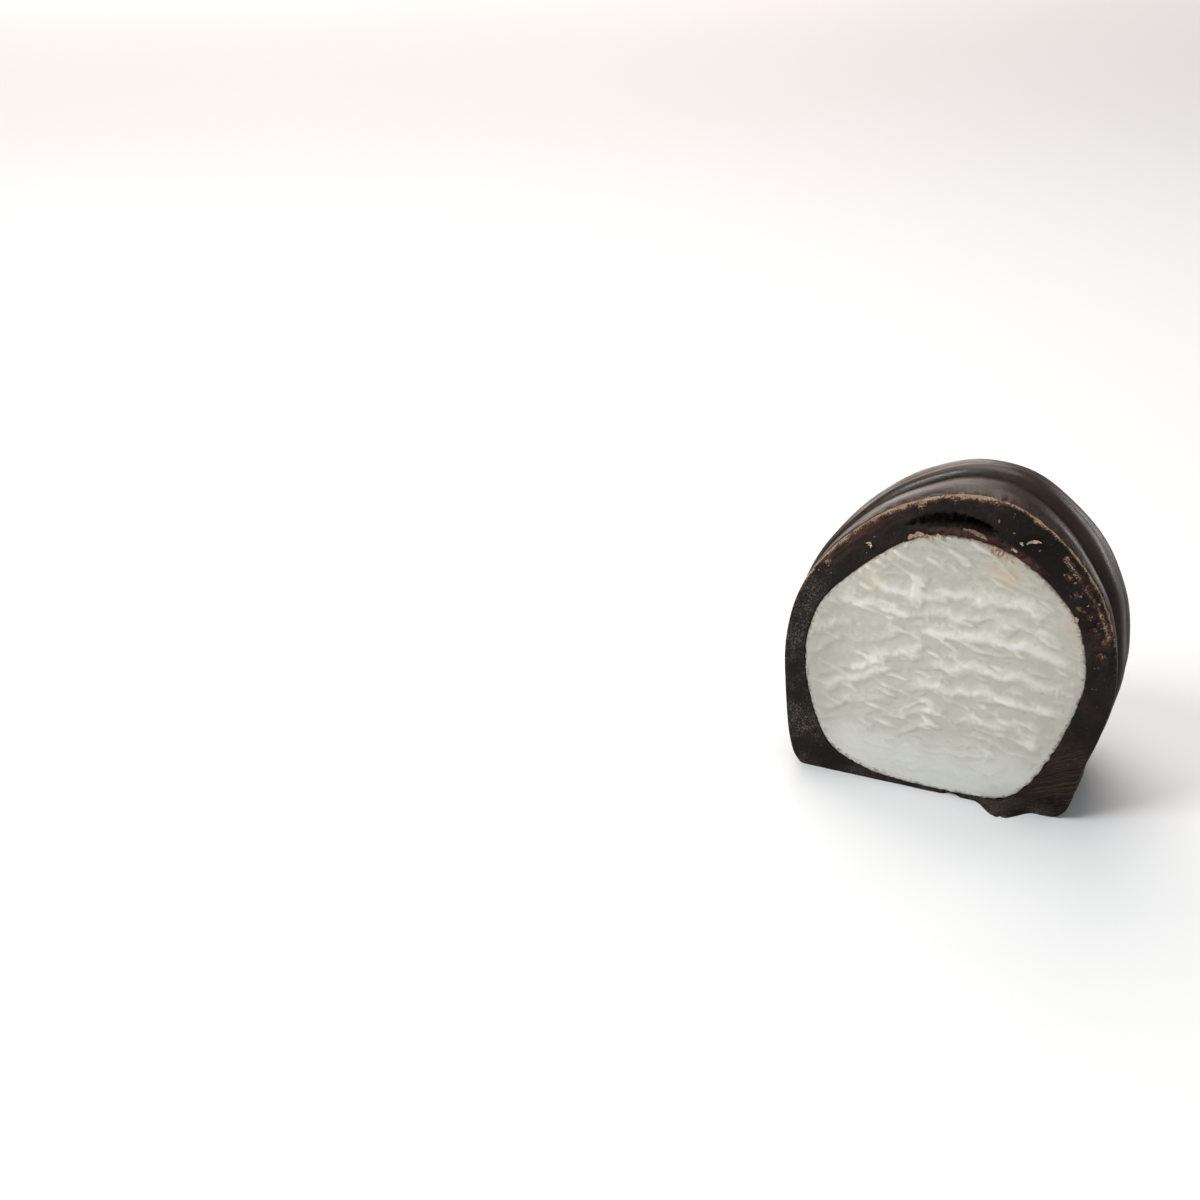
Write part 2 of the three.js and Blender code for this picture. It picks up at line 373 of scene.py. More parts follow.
def makeCutMaterial():
    material, tree, shader = newMaterial("chocolateCut")
    point = objectPoint(tree)
    grain, specks = useGrain(tree, point, 0.22, 0.1)
    pores = useGrain(tree, point, 0.42, 0.11)[1]
    powder = useGrain(tree, point, 0.17, 0.0)[0]
    centre = cutFinish["scratchCentre"] * mm + cutPlace
    offset = addNode(tree, "ShaderNodeVectorMath", {0: point, 1: centre}, operation="SUBTRACT").outputs[0]
    radius = addNode(tree, "ShaderNodeVectorMath", {0: offset}, operation="LENGTH").outputs["Value"]
    wobble = makeNoise(tree, point, 300.0, 2.0)
    turns = doMath(tree, "DIVIDE", radius, cutFinish["scratchSpacing"] * mm)
    turns = doMath(tree, "ADD", turns, doMath(tree, "MULTIPLY", wobble, 3.0))
    wave = addNode(tree, "ShaderNodeTexNoise", {
        "W": turns, "Scale": 2.0, "Detail": 1.0}, noise_dimensions="1D").outputs["Fac"]
    streaks = doMath(tree, "MULTIPLY", mapRange(tree, wave, 0.45, 0.62), readMask(tree, "scratch"))
    blotches = makeNoise(tree, point, 260.0, 4.0)
    rubbed = doMath(tree, "MULTIPLY", mapRange(tree, grain, 0.42, 0.68),
                    mapRange(tree, blotches, 0.42, 0.62, 0.05, 0.65))
    redder = mapRange(tree, wobble, 0.5, 0.7, 0.0, 0.6)
    colour = mixColours(tree, redder, cutFinish["dark"], cutFinish["reddish"])
    colour = mixColours(tree, rubbed, colour, cutFinish["scraped"])
    colour = mixColours(tree, doMath(tree, "MULTIPLY", streaks, 0.3), colour, cutFinish["streak"])
    # painted shade: darker colour at the top right of the cut and low on the right foot
    paintedShadeHere = doMath(tree, "MULTIPLY", readMask(tree, "paintedShade"), 0.8)
    colour = mixColours(tree, paintedShadeHere, colour, cutFinish["paintedShade"])
    powdered = doMath(tree, "MULTIPLY", mapRange(tree, powder, 0.5, 0.64),
                      mapRange(tree, blotches, 0.4, 0.6, 0.1, 0.95))
    powdered = doMath(tree, "MULTIPLY", readMask(tree, "powder"), powdered)
    colour = mixColours(tree, powdered, colour, cutFinish["powder"])
    skinned = doMath(tree, "MULTIPLY", readMask(tree, "skin"), mapRange(tree, grain, 0.35, 0.6, 0.35, 1.0))
    colour = mixColours(tree, skinned, colour, cutFinish["skin"])
    # the breaks fade out through their own grain, so their edges are speckled and not soft
    uneven = doMath(tree, "ADD", doMath(tree, "MULTIPLY", grain, 2.0),
                    doMath(tree, "MULTIPLY", blotches, 1.6))
    broken = doMath(tree, "ADD", readMask(tree, "broken"), doMath(tree, "SUBTRACT", uneven, 1.8))
    broken = doMath(tree, "MULTIPLY", broken, mapRange(tree, readMask(tree, "broken"), 0.0, 0.12))
    colour = mixColours(tree, mapRange(tree, broken, 0.1, 0.5, 0.0, 0.8), colour, cutFinish["bruised"])
    colour = mixColours(tree, mapRange(tree, broken, 0.48, 0.72), colour, cutFinish["broken"])
    colour = mixColours(tree, doMath(tree, "MULTIPLY", specks, 0.4), colour, cutFinish["broken"])
    # painted shade in the pores, which the bump also sinks in
    colour = mixColours(tree, pores, colour, cutFinish["poreShade"])
    height = doMath(tree, "SUBTRACT", grain, doMath(tree, "MULTIPLY", pores, 1.5))
    height = doMath(tree, "ADD", height, doMath(tree, "MULTIPLY", streaks, 0.5))
    feed(tree, shader, {
        "Base Color": colour,
        "Roughness": mapRange(tree, grain, 0.3, 0.7, *cutFinish["roughness"]),
        "Specular IOR Level": cutFinish["specular"],
        "Normal": addBump(tree, height, *cutFinish["bump"]),
    })
    return material


mallowFinish = {
    # painted highlight on the wrinkle crests, and painted shade over the wrinkled part between them
    "crestHighlight": paint(226, 225, 218),
    "valleyShade": paint(194, 193, 182),
    "smooth": paint(211, 212, 206),   # the bottom of the face, which has no wrinkles
    "peach": paint(208, 184, 156),
    "shade": paint(166, 165, 154),    # painted shade along the left, the top and the right margins
    "grey": paint(128, 110, 100),     # chocolate dust on the edge
    "roughness": 0.72,
    "specular": 0.3,
    "glow": 0.6,                      # how much light goes into it, and how far each colour gets
    "glowReach": (1.0, 0.95, 0.85),
    "glowScale": 0.7 * mm,
    "bump": (0.12 * mm, 0.9),
}


def makeMallowMaterial():
    material, tree, shader = newMaterial("marshmallow")
    point = objectPoint(tree)
    foam = makeNoise(tree, point, 2300.0, 5.0, 0.7)
    mottled = makeNoise(tree, point, 520.0, 4.0)
    # the wrinkled part is painted darker as shade, and its crests lighter as a painted highlight
    colour = mixColours(tree, readMask(tree, "smooth"), mallowFinish["valleyShade"], mallowFinish["smooth"])
    crestHighlight = doMath(tree, "MULTIPLY", readMask(tree, "crestHighlight"), mapRange(tree, mottled, 0.3, 0.6, 0.55, 1.0))
    colour = mixColours(tree, crestHighlight, colour, mallowFinish["crestHighlight"])
    stain = doMath(tree, "MULTIPLY", readMask(tree, "stain"), mapRange(tree, mottled, 0.4, 0.62, 0.1, 1.0))
    colour = mixColours(tree, stain, colour, mallowFinish["peach"])
    shaded = doMath(tree, "MULTIPLY", readMask(tree, "shade"), 0.6)
    colour = mixColours(tree, shaded, colour, mallowFinish["shade"])
    # the dirt on the edge thins out into specks
    soiled = doMath(tree, "ADD", readMask(tree, "edge"), doMath(tree, "MULTIPLY", foam, 2.4))
    soiled = doMath(tree, "MULTIPLY", mapRange(tree, soiled, 1.65, 2.1, 0.0, 0.85),
                    mapRange(tree, readMask(tree, "edge"), 0.0, 0.2))
    colour = mixColours(tree, soiled, colour, mallowFinish["grey"])
    feed(tree, shader, {
        "Base Color": colour,
        "Roughness": mallowFinish["roughness"],
        "Specular IOR Level": mallowFinish["specular"],
        "Subsurface Weight": mallowFinish["glow"],
        "Subsurface Radius": mallowFinish["glowReach"],
        "Subsurface Scale": mallowFinish["glowScale"],
        "Normal": addBump(tree, doMath(tree, "ADD", foam, mottled), *mallowFinish["bump"]),
    })
    return material


shellMaterial = makeShellMaterial()
cutMaterial = makeCutMaterial()
mallowMaterial = makeMallowMaterial()
print("materials made")


# The coating

coating = {
    "masks": ("broken", "skin", "scratch", "dustAndRimHighlight", "powder", "paintedShade"),
    "columns": 480,
    "creaseDepths": [-2.5, 2.4, 6.4, 10.5, 14.6, 18.8, 31.2],
    "rowsPerRoll": 14,
    "endRows": 34,
    "cutRows": 30,
    "hollowRows": 8,
    "rollHeight": 0.75,
    "rollShape": 0.6,       # below 1 gives round rolls with narrow creases
    "lean": {"size": 2.9, "turn": 1.74, "starts": (1.5, 8), "ends": (12, 25)},
    "waver": {"size": 0.28, "waves": 3},
    # the first crease stays near the cut on the left and lies further back on the right
    "firstLean": {"size": 1.5, "turn": 1.25, "reach": 1.7},
    # and is wide and deep there
    "sideGroove": {"turn": -0.1, "reach": 1.4, "depth": 2.9, "width": 0.8, "cut": 0.95},
    "ledges": 0.09,         # faint lines that run along the rolls
    "rollFoot": 6,          # below this height the rolls run out towards the base
    "gutter": {"depth": 2.4, "width": 0.35, "cut": 0.25},     # the first crease is the deepest
    "rimRows": (0.05, 0.12, 0.22, 0.36, 0.55, 0.8),           # depths of the fine rows behind the cut
    "curl": {"x": 4, "z": 17, "radius": 7.5, "width": 2.4, "height": 0.8},
    "dents": 0.16,
    "dustAndHighlightPlaces": {"top": (6, 20), "right": (11, 15), "reach": 0.4},     # cocoa dust along the cut at the top, and a painted highlight along the cut's edge on the right
}

knifeMarks = {
    # a torn gap between two layers of the coating: places across, its top and bottom edge, its depth
    "slit": {
        "x": (-6.2, -5.2, -4.2, -2.7, -1.0, 0.7, 2.2, 3.6, 5.0),
        "top": (34.0, 34.9, 35.5, 36.1, 36.4, 36.5, 36.2, 35.7, 34.9),
        "low": (33.9, 34.1, 34.3, 34.5, 34.7, 35.0, 34.8, 34.4, 34.6),
        "depth": (0.4, 0.9, 1.4, 1.8, 2.3, 2.7, 2.8, 2.8, 1.8),
    },
    "skin": {"angle": 78, "reach": 34, "thick": 0.75, "proud": 0.34},
    "flush": {"angle": 124, "reach": 30, "wide": 2.4},     # reddish layer under the rim
    "chips": {"angle": 26, "reach": 26, "depth": 0.6},
    "rim": {"angle": 92, "reach": 92, "wide": 0.95, "depth": 0.35, "narrowAt": 55,
            "starts": (12, 30), "ends": (150, 167)},
    # the edge broke away further in on the right: places along that line, how wide it is
    "torn": {
        "line": [(12.8, 33.0), (14.1, 31.2), (15.2, 29.6), (16.5, 28.2), (17.5, 26.3), (18.2, 24.2)],
        "wide": 0.34,
    },
    # paler broken places: across, up, size
    "patches": [(13.3, 31.0, 0.45), (14.2, 29.0, 0.5), (16.0, 26.6, 0.45), (-12.9, 31.2, 0.5),
                (-15.0, 28.0, 0.4)],
    "powder": {"x": (13.0, 17.0), "low": 1.6},     # on the left, and along the base
    # painted shade, a darker chocolate colour: angle and reach of one place, across, up and reach of the
    # other
    "paintedShade": {"angle": 60, "reach": 28, "x": 14.8, "z": 1.6, "size": 3.0},
    "groove": {"x": 13.8, "reach": 3.2, "z": 1.3, "half": 1.5, "depth": 0.4},
    "nick": {"x": 2.3, "reach": 1.3, "depth": 0.8},
    "burr": {"x": 8.7, "reach": 3.6, "height": 1.9},
    "scratches": {"x": 15.5, "z": 5.2, "reach": 6.0},
}

coatingRim = smoothOutline(sweet["coatingKnots"], coating["columns"])
hollowRim = alongRays(sweet["hollowKnots"], coatingRim)


# How far the surface lies below the crests of the wide rolls at a depth
def rollRelief(depth):
    creases = coating["creaseDepths"]
    after = next(i for i, crease in enumerate(creases) if crease > depth)
    width = creases[after] - creases[after - 1]
    part = (depth - creases[after - 1]) / width
    gutter = coating["gutter"]
    relief = coating["rollHeight"] * (math.sin(part * math.pi) ** coating["rollShape"] - 1)
    return relief - gutter["cut"] * bell(depth - gutter["depth"], gutter["width"])


# The marks on the cut. Each function gives how far back its mark sets a point of the cut, and how
# strongly the mark shows there.

# The crumbling band along the outer edge
def rimMark(point, angle, fromRim, rough):
    rim = knifeMarks["rim"]
    narrow = 1 - 0.6 * hump(angle, rim["narrowAt"], 24)
    wide = rim["wide"] * narrow * hump(angle, rim["angle"], rim["reach"]) ** 0.6
    wide *= 0.8 + 0.8 * noise.noise(point * 0.6 + Vector((9, 0, 0))) + 0.5 * rough
    edge = smoothStep(angle, *rim["starts"]) * (1 - smoothStep(angle, *rim["ends"]))
    edge *= max(0.0, 1 - fromRim / max(0.25, wide))
    return rim["depth"] * edge * (0.8 + 0.8 * rough), edge


# Flat-sided chips on the right
def chipMark(point, angle, fromInside):
    chips = knifeMarks["chips"]
    inChips = hump(angle, chips["angle"], chips["reach"]) * smoothStep(fromInside, 0.2, 1.2)
    facets = noise.turbulence(point * 0.75, 4, True, noise_basis="PERLIN_ORIGINAL")
    return chips["depth"] * inChips * facets, 0.8 * inChips * smoothStep(facets, 0.5, 0.9)


# The torn gap with its strands, and the powder on their left half
def slitMark(point):
    slit = knifeMarks["slit"]
    tornTop, tornLow, tornDepth = (
        float(np.interp(point.x, slit["x"], slit[key])) for key in ("top", "low", "depth"))
    tear = 0.5 * noise.noise(Vector((point.x * 1.5, 0, 8)))
    tear += 0.3 * noise.noise(Vector((point.x * 4.2, 0, 3)))
    inSlit = smoothStep(tornTop + tear - point.z, 0.0, 0.3)
    inSlit *= smoothStep(point.z - tornLow - 0.7 * tear, -0.15, 0.3)
    inSlit *= smoothStep(point.x, *slit["x"][:2]) * (1 - smoothStep(point.x, *slit["x"][-2:]))
    strands = noise.noise(Vector((point.x * 3.8, 0, point.z * 0.8)))
    powdered = inSlit * smoothStep(-strands, 0.0, 0.5) * smoothStep(-point.x, -2.0, 2.0)
    return tornDepth * inSlit * (0.75 + 0.6 * strands), powdered


# The streaky reddish layer at the upper left
def flushMark(angle, fromRim):
    flush = knifeMarks["flush"]
    inFlush = hump(angle, flush["angle"], flush["reach"]) ** 0.5
    inFlush *= 1 - smoothStep(fromRim, 0.5 * flush["wide"], flush["wide"])
    streak = noise.fractal(Vector((angle * 0.09, 0, fromRim * 2.2)), 0.8, 2.1, 3)
    inFlush *= smoothStep(streak, -0.35, 0.35)
    return 0.15 * inFlush * streak, inFlush


# The thin layer that stands proud along the marshmallow
def skinMark(point, angle, fromInside, rough):
    skin = knifeMarks["skin"]
    inSkin = smoothStep(hump(angle, skin["angle"], skin["reach"]), 0.1, 0.4)
    inSkin *= 1 - smoothStep(fromInside, skin["thick"] * 0.8, skin["thick"] * 1.3)
    return -skin["proud"] * inSkin * (0.7 + rough + 0.8 * noise.noise(point * 2.6)), inSkin


# The groove, the nick and the burr along the base
def baseMark(point, rough):
    groove, nick, burr = (knifeMarks[key] for key in ("groove", "nick", "burr"))
    back = groove["depth"] * hump(point.x, groove["x"], groove["reach"])
    back *= hump(point.z, groove["z"], groove["half"])
    onBurr = 0.0
    if point.z < 3:
        back += nick["depth"] * hump(point.x, nick["x"], nick["reach"])
        onBurr = hump(point.x, burr["x"], burr["reach"]) ** 0.8 * hump(point.z, 0, burr["height"])
        back -= sweet["burrLength"] * onBurr * (1 - 0.25 * abs(rough))
    return back, onBurr


# Paler broken places: single ones, and a line where the edge broke away
def palerPlaces(point):
    paler = 0.0
    for x, z, size in knifeMarks["patches"]:
        paler = max(paler, 0.6 * bell(math.hypot(point.x - x, point.z - z), size))
    torn = knifeMarks["torn"]
    offLine = noise.noise(point * 1.1 + Vector((2, 0, 4)))
    for start, end in zip(torn["line"], torn["line"][1:]):
        nearest, part = intersect_point_line((point.x, point.z, 0), (*start, 0), (*end, 0))
        if -0.2 < part < 1.2:
            off = math.hypot(point.x - nearest.x, point.z - nearest.y) + 0.35 * offLine
            paler = max(paler, 0.62 * bell(off, torn["wide"]))
    return paler


# What the knife and the break left on the cut: how far back the point lies, and its masks
def cutRelief(point, across, thickness):
    middle = sweet["middle"]
    angle = math.degrees(math.atan2(point.z - middle.z, point.x - middle.x))
    fromRim = across * thickness
    fromInside = (1 - across) * thickness
    rough = noise.fractal(point * 1.3, 0.9, 2.1, 4)
    depths, marked = zip(
        rimMark(point, angle, fromRim, rough), chipMark(point, angle, fromInside), slitMark(point),
        flushMark(angle, fromRim), skinMark(point, angle, fromInside, rough), baseMark(point, rough))
    back = sum(depths, 0.05 * noise.noise(point * 0.35) + 0.03 * rough)

    edge, chipped, slitPowder, inFlush, inSkin, onBurr = marked
    powder = knifeMarks["powder"]
    low = 0.7 * (1 - smoothStep(point.z, 0.5, powder["low"]))
    powdered = max(smoothStep(-point.x, *powder["x"]), low, slitPowder, onBurr)
    scratches = knifeMarks["scratches"]
    scratched = math.hypot(point.x - scratches["x"], point.z - scratches["z"])
    scratchHere = 1 - smoothStep(scratched, 0.5 * scratches["reach"], scratches["reach"])
    # painted shade at the top right, and in patches low on the right foot
    paintedShade = knifeMarks["paintedShade"]
    inPaintedShade = hump(math.hypot(point.x - paintedShade["x"], point.z - paintedShade["z"]), 0, paintedShade["size"])
    inPaintedShade = max(hump(angle, paintedShade["angle"], paintedShade["reach"]), inPaintedShade * smoothStep(rough, -0.5, 0.1))
    broken = max(edge, chipped, palerPlaces(point))
    return back, (broken, max(inSkin, inFlush), scratchHere, 0.0, powdered, inPaintedShade)


# How far back the cut's outer edge lies in each column
rimBack = [cutRelief(rim, 0.0, (rim - hollow).length)[0] for rim, hollow in zip(coatingRim, hollowRim)]


# How much deeper a crease lies at a turn round the sweet than its mean depth
def swayOf(turn, depth):
    lean = coating["lean"]
    waver = coating["waver"]
    leaning = lean["size"] * smoothStep(depth, *lean["starts"]) * (1 - smoothStep(depth, *lean["ends"]))
    wavering = waver["size"] * math.sin(depth / sweet["outside"]["depth"] * math.pi)
    firstCrease, secondCrease = coating["creaseDepths"][1:3]
    nearFirst = max(0.0, min(depth / firstCrease, (secondCrease - depth) / (secondCrease - firstCrease)))
    first = coating["firstLean"]
    leaning *= math.sin(turn + lean["turn"])
    leaning += first["size"] * nearFirst * hump(turnBetween(turn, first["turn"]), 0, first["reach"])
    return leaning + wavering * math.sin(waver["waves"] * turn)


# The loop of drizzle that closes the round end
def curlHeight(point, depth):
    curl = coating["curl"]
    lastCrease = coating["creaseDepths"][-2]
    atEnd = max(0.0, depth - lastCrease) / (sweet["outside"]["depth"] - lastCrease)
    onLoop = math.hypot(point.x - curl["x"], point.z - curl["z"]) - curl["radius"]
    return curl["height"] * atEnd * bell(onLoop, curl["width"])


# Faint lines along the rolls
def ledgeHeight(turn, depth):
    place = Vector((depth * 1.3, math.cos(turn) * 1.5, math.sin(turn) * 1.5))
    height = coating["ledges"] * noise.noise(place)
    return height * ((1 - smoothStep(depth, 20, 24.5)) * (1 + 1.6 * hump(turn, 2.5, 1.1)))


def outerPoint(column, depth):
    middle = sweet["middle"]
    turn = column / coating["columns"] * 2 * math.pi
    place = depth + swayOf(turn, depth)
    point = deeper(coatingRim[column], place, sweet["outside"])
    outward = (point - Vector((middle.x, min(place, middle.y), middle.z))).normalized()
    fade = min(1.0, point.z / coating["rollFoot"])
    loop = curlHeight(point, depth)
    atCut = max(0.0, 1 - depth / coating["creaseDepths"][1])
    dents = coating["dents"] * noise.noise(point * 0.16) * (1 - atCut)
    side = coating["sideGroove"]
    groove = side["cut"] * hump(turnBetween(turn, side["turn"]), 0, side["reach"])
    groove *= bell(place - side["depth"], side["width"])
    point += outward * (rollRelief(depth) - groove + loop + dents + ledgeHeight(turn, depth)) * fade
    point.y += rimBack[column] * math.exp(-depth / 0.25)
    # the pale colour along the cut is cocoa dust higher up, and a painted highlight on the right side
    dustAndHighlightPlaces = coating["dustAndHighlightPlaces"]
    dustAndRimHighlight = max(smoothStep(point.z, *dustAndHighlightPlaces["top"]), 0.9 * smoothStep(point.x, *dustAndHighlightPlaces["right"]))
    dustAndRimHighlight *= 0.5 * math.exp(-depth / dustAndHighlightPlaces["reach"])
    return point, (0.0, 0.0, 0.0, dustAndRimHighlight, 0.0, 0.0)


def coatingShape(column, row):
    zone, value = row
    if zone == "outer":
        return outerPoint(column, value)
    if zone == "hollow":
        return deeper(hollowRim[column], value, sweet["inside"]), (0.0,) * len(coating["masks"])
    point = coatingRim[column].lerp(hollowRim[column], value)
    back, masks = cutRelief(point, value, (coatingRim[column] - hollowRim[column]).length)
    point.y = back
    return point, masks


def coatingRows():
    creases = coating["creaseDepths"]
    form = sweet["outside"]
    widthAtEnd = share(creases[-2], form["depth"], form["widestAt"], form["roundAcross"])
    endRows = coating["endRows"]
    depths = [depthOfShare(widthAtEnd * row / endRows, form) for row in range(endRows)]
    for far, near in zip(creases[-2:0:-1], creases[-3::-1]):
        for row in range(coating["rowsPerRoll"]):
            part = (1 - math.cos(row / coating["rowsPerRoll"] * math.pi)) / 2
            if far + (near - far) * part > coating["rimRows"][-1]:
                depths.append(far + (near - far) * part)
    depths += coating["rimRows"][::-1]
    rows = [("outer", depth) for depth in depths]
    rows += [("cut", (row / coating["cutRows"]) ** 1.2) for row in range(coating["cutRows"] + 1)]
    inside = sweet["inside"]
    for row in range(1, coating["hollowRows"] + 1):
        rows.append(("hollow", depthOfShare(1 - row / coating["hollowRows"], inside)))
    return rows


def coatingSlot(row):
    return 0 if row[0] == "outer" else 1


coatingPiece = wrapSheet("coating", coating["columns"], coatingRows(), coatingShape, coating["masks"],
                         (shellMaterial, cutMaterial), coatingSlot)
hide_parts("chocolate_coating")
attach(coatingPiece, "root")
print("coating made,", len(coatingPiece.data.polygons), "faces")


# The marshmallow

mallow = {
    "masks": ("crestHighlight", "stain", "edge", "smooth", "shade"),
    "columns": 400,
    "backRows": 14,
    "faceRows": 110,
    "inset": 0.03,
    "swell": 0.3,           # the cut face stands this far forward in its middle
    "roundEdge": 0.5,
    "edgeBack": 0.08,
    "ragged": 0.24,         # how far the edge wanders in and out
    "smoothBelow": (4.0, 9.5),     # the wrinkles fade out downwards between these heights
    "waves": {"spacing": 1.4, "height": 0.15, "slant": 0.36, "slantRight": -0.12},
    # short wrinkles in between, steeper towards the top and higher towards the top left
    "dashes": {"slant": 0.26, "steepSlant": 0.52, "steepFrom": (23, 28), "along": 0.4, "across": 1.15,
               "height": 0.24, "higher": 0.45, "higherFrom": (-6, 3)},
    "soiled": 0.9,          # chocolate dust reaches this far in from the edge
    # and further at the lower left
    "frayed": {"starts": (-17, -14), "ends": (-4, 1), "z": (3, 13), "wide": 1.3},
    # peach-coloured places: across, up, size, strength
    "stains": [(6.6, 30.6, 2.3, 0.8), (-9.5, 27.6, 1.6, 0.7), (14.6, 25.6, 1.3, 0.8),
               (13.4, 28.2, 1.0, 0.7), (-3.8, 33.0, 1.2, 0.6)],
    "shade": {"left": (9.5, 16.5), "top": (25, 32), "right": (5, 15)},     # painted shade along these margins
    # the longest wrinkles: start, end, how far the middle is lifted, height
    "folds": [
        ((-9.8, 26.8), (-0.2, 25.6), -0.6, 0.42), ((-1.6, 26.5), (11.6, 26.1), 0.4, 0.42),
        ((-13.2, 24.1), (-4.2, 23.4), -0.3, 0.45), ((-2.4, 23.5), (14.3, 22.4), 1.4, 0.34),
        ((-3.4, 21.0), (15.4, 19.8), 1.3, 0.5), ((-16.2, 19.2), (-11.4, 20.6), 0.2, 0.32),
        ((-8.8, 16.6), (-2.2, 19.6), 0.2, 0.4), ((-1.8, 17.4), (14.6, 16.6), 0.5, 0.45),
        ((-11.4, 15.0), (-6.8, 17.0), -0.2, 0.4), ((-4.2, 13.9), (14.8, 13.6), 0.8, 0.45),
        ((-14.8, 11.2), (-6.0, 15.4), 0.3, 0.4), ((-14.0, 8.8), (-6.6, 11.8), 0.4, 0.28),
        ((-6.4, 9.4), (0.8, 11.4), 0.3, 0.26), ((2.0, 10.8), (12.6, 9.4), 0.6, 0.32),
        ((5.0, 7.4), (8.2, 5.4), 0.1, 0.25), ((-10.4, 6.3), (-8.4, 6.5), 0.1, 0.3),
        ((-8.6, 29.6), (3.6, 29.2), 0.4, 0.2), ((2.6, 30.2), (9.4, 28.6), 0.2, 0.22),
    ],
    "foldHeight": 0.66,     # scales the heights above
    "foldAbove": 0.95,
    "foldBelow": 0.7,
}

mallowRim = alongRays(sweet["hollowKnots"], smoothOutline(sweet["coatingKnots"], mallow["columns"]))


# Height of the longest wrinkles at a point of the cut face
def foldHeight(point, wander):
    quiver = noise.noise(Vector((point.x * 0.5, 4, point.z * 0.3)))
    height = 0.0
    for start, end, lift, size in mallow["folds"]:
        along = Vector((end[0] - start[0], end[1] - start[1]))
        away = Vector((point.x - start[0] + 0.5 * wander.x, point.z - start[1] + 0.5 * wander.z))
        part = away.dot(along) / along.length_squared
        if -0.1 < part < 1.1:
            bow = lift * 4 * part * (1 - part)
            off = (along.x * away.y - along.y * away.x) / along.length - bow + 0.6 * quiver
            width = mallow["foldAbove"] if off > 0 else mallow["foldBelow"]
            ends = smoothStep(part, -0.1, 0.12) * (1 - smoothStep(part, 0.88, 1.1))
            height = math.hypot(height, mallow["foldHeight"] * size * ends * bell(off, width))
    return height


# One pattern of short wrinkles, which fall to the right by the slant
def dashAt(point, slant):
    dashes = mallow["dashes"]
    level = point.z + slant * point.x
    place = Vector((point.x * dashes["along"], 6, level * dashes["across"]))
    return smoothStep(noise.noise(place), -0.05, 0.6)


def dashHeight(point, strength):
    dashes = mallow["dashes"]
    inUpper = smoothStep(point.z, *dashes["steepFrom"])
    dash = (1 - inUpper) * dashAt(point, dashes["slant"])
    dash += inUpper * dashAt(point, dashes["steepSlant"])
    dash *= dashes["height"] * (0.25 + 0.75 * strength)
    return dash * (1 + dashes["higher"] * inUpper * smoothStep(-point.x, *dashes["higherFrom"]))


# Height of all the wrinkles at a point, how much painted crest highlight it gets, and how smooth it is
# there
def wrinkles(point):
    wander = Vector((noise.noise(point * 0.3), 0, noise.noise(point * 0.3 + Vector((7, 3, 1)))))
    waves = mallow["waves"]
    slant = waves["slant"] * smoothStep(32 - point.z, 0, 22) if point.x < 0 else waves["slantRight"]
    level = point.z - slant * point.x + 0.6 * wander.z
    phase = level / waves["spacing"] + 1.5 * noise.noise(Vector((point.x * 0.16, 2, level * 0.2)))
    patchy = smoothStep(noise.noise(Vector((point.x * 0.24, level * 0.4, 1))), -0.4, 0.3)
    strength = smoothStep(point.z + 2.5 * wander.x, *mallow["smoothBelow"])
    fine = waves["height"] * (0.5 - 0.5 * math.cos(phase * 2 * math.pi)) * patchy * (0.12 + 0.88 * strength)
    bumps = 0.06 * noise.fractal(point * 1.5, 0.7, 2.1, 4) * (0.4 + 0.6 * strength)
    folds = foldHeight(point, wander) * (0.3 + 0.7 * strength)
    total = math.hypot(folds, fine, dashHeight(point, strength)) + bumps
    return total, (smoothStep(total, 0.08, 0.36), 1 - strength)


def mallowShape(column, row):
    zone, value = row
    middle = sweet["middle"]
    rim = mallowRim[column]
    inward = Vector((middle.x - rim.x, 0, middle.z - rim.z)).normalized()
    inset = mallow["inset"] + mallow["ragged"] * abs(noise.fractal(rim * 0.8, 0.8, 2.1, 3))
    if zone == "back":
        point = deeper(rim, value, sweet["inside"])
        place = point + (middle - point).normalized() * mallow["inset"] * 3
        if value == 0:
            place = rim + inward * inset
            place.y = mallow["edgeBack"]
        return place, (0.0, 0.0, 1.0, 0.0, 0.0)
    point = rim + inward * inset
    point = point.lerp(Vector((middle.x, 0, middle.z)), value)
    fromRim = (point - rim).length
    edge = max(0.0, 1 - fromRim / mallow["roundEdge"])
    frayed = mallow["frayed"]
    inFrayed = smoothStep(point.x, *frayed["starts"]) * (1 - smoothStep(point.x, *frayed["ends"]))
    inFrayed *= 1 - smoothStep(point.z, *frayed["z"])
    dirt = max(0.0, 0.9 * (1 - fromRim / mallow["soiled"]),
               0.85 * inFrayed * (1 - fromRim / frayed["wide"]))
    height, (crestHighlight, smooth) = wrinkles(point)
    height *= smoothStep(fromRim, 0.0, 0.8)
    swell = mallow["swell"] * (1 - (1 - min(1.0, value)) ** 2)
    stain = max(strength * bell((point - Vector((x, 0, z))).length, size)
                for x, z, size, strength in mallow["stains"])
    point.y = mallow["edgeBack"] * edge ** 2 - swell - height
    # painted shade towards the left, the top and the right
    shade = mallow["shade"]
    shaded = 0.9 * smoothStep(-point.x, *shade["left"]) + 0.5 * smoothStep(point.z, *shade["top"])
    shaded = min(1.0, shaded + 0.35 * smoothStep(point.x, *shade["right"]))
    return point, (crestHighlight, stain, dirt, smooth, shaded)


def mallowRows():
    inside = sweet["inside"]
    rows = [("back", depthOfShare(row / mallow["backRows"], inside)) for row in range(mallow["backRows"])]
    rows += [("back", inside["widestAt"]), ("back", inside["widestAt"] / 2), ("back", 0)]
    rows += [("face", (row / mallow["faceRows"]) ** 1.15) for row in range(1, mallow["faceRows"] + 1)]
    return rows


